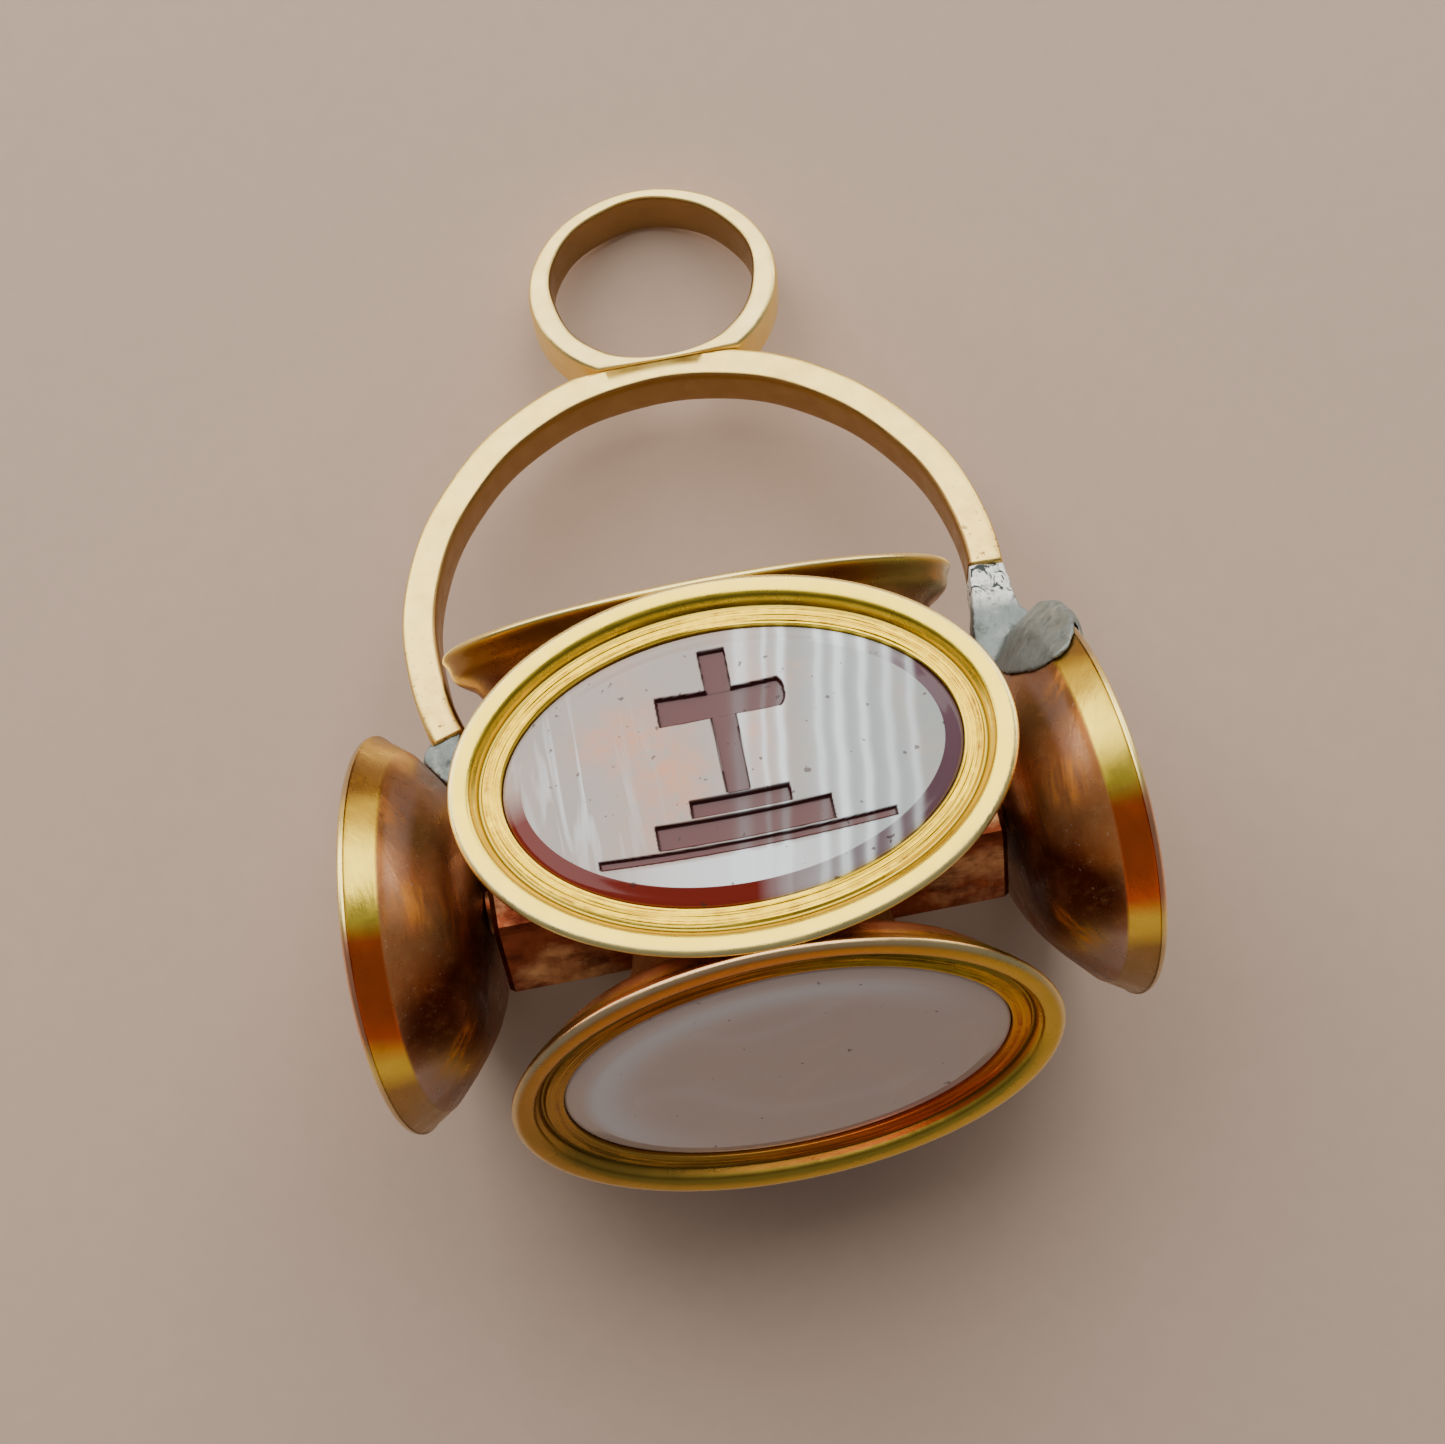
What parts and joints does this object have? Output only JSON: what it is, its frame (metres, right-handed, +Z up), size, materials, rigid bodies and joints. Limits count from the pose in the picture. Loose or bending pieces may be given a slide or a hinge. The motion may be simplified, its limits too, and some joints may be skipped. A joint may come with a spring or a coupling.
{
  "type": "intaglio seal",
  "caption": "Swivelling fob seal: oval gold-set stones on a wheel spinning in an arched bow with a suspension ring, a cross cut into the front stone.",
  "frame": {"origin": "centre of the bounding box's underside, on the floor the seal lies on", "axes": "+X along the axle toward the right-hand seal, +Y toward the suspension ring, +Z up"},
  "size_m": [0.0308, 0.0456, 0.0256],
  "materials": {
    "front_setting": "worn polished gold",
    "front_stone": "polished",
    "lower_setting": "worn polished gold",
    "lower_stone": "polished",
    "under_setting": "worn polished gold",
    "under_stone": "polished",
    "rear_setting": "worn polished gold",
    "rear_stone": "polished",
    "upper_setting": "worn polished gold",
    "upper_stone": "polished",
    "hub": "worn polished gold",
    "left_setting": "worn polished gold",
    "left_stone": "polished",
    "right_setting": "worn polished gold",
    "right_stone": "polished",
    "axle": "worn polished gold",
    "bow": "worn polished gold",
    "suspension_ring": "worn polished gold",
    "right_solder": "dull tin-lead solder",
    "left_solder": "dull tin-lead solder"
  },
  "bodies": {
    "bow_frame": {"left_setting": "left_setting", "left_stone": "left_stone", "right_setting": "right_setting", "right_stone": "right_stone", "axle": "axle", "bow": "bow", "suspension_ring": "suspension_ring", "right_solder": "right_solder", "left_solder": "left_solder"},
    "seal_wheel": {"front_setting": "front_setting", "front_stone": "front_stone", "lower_setting": "lower_setting", "lower_stone": "lower_stone", "under_setting": "under_setting", "under_stone": "under_stone", "rear_setting": "rear_setting", "rear_stone": "rear_stone", "upper_setting": "upper_setting", "upper_stone": "upper_stone", "hub": "hub"}
  },
  "joints": [
    {"name": "seal_spin", "type": "hinge", "parent": "bow_frame", "child": "seal_wheel", "pos_m": [0, -0.00958, 0.0127], "axis": [1, 0, 0], "continuous": true}
  ]
}
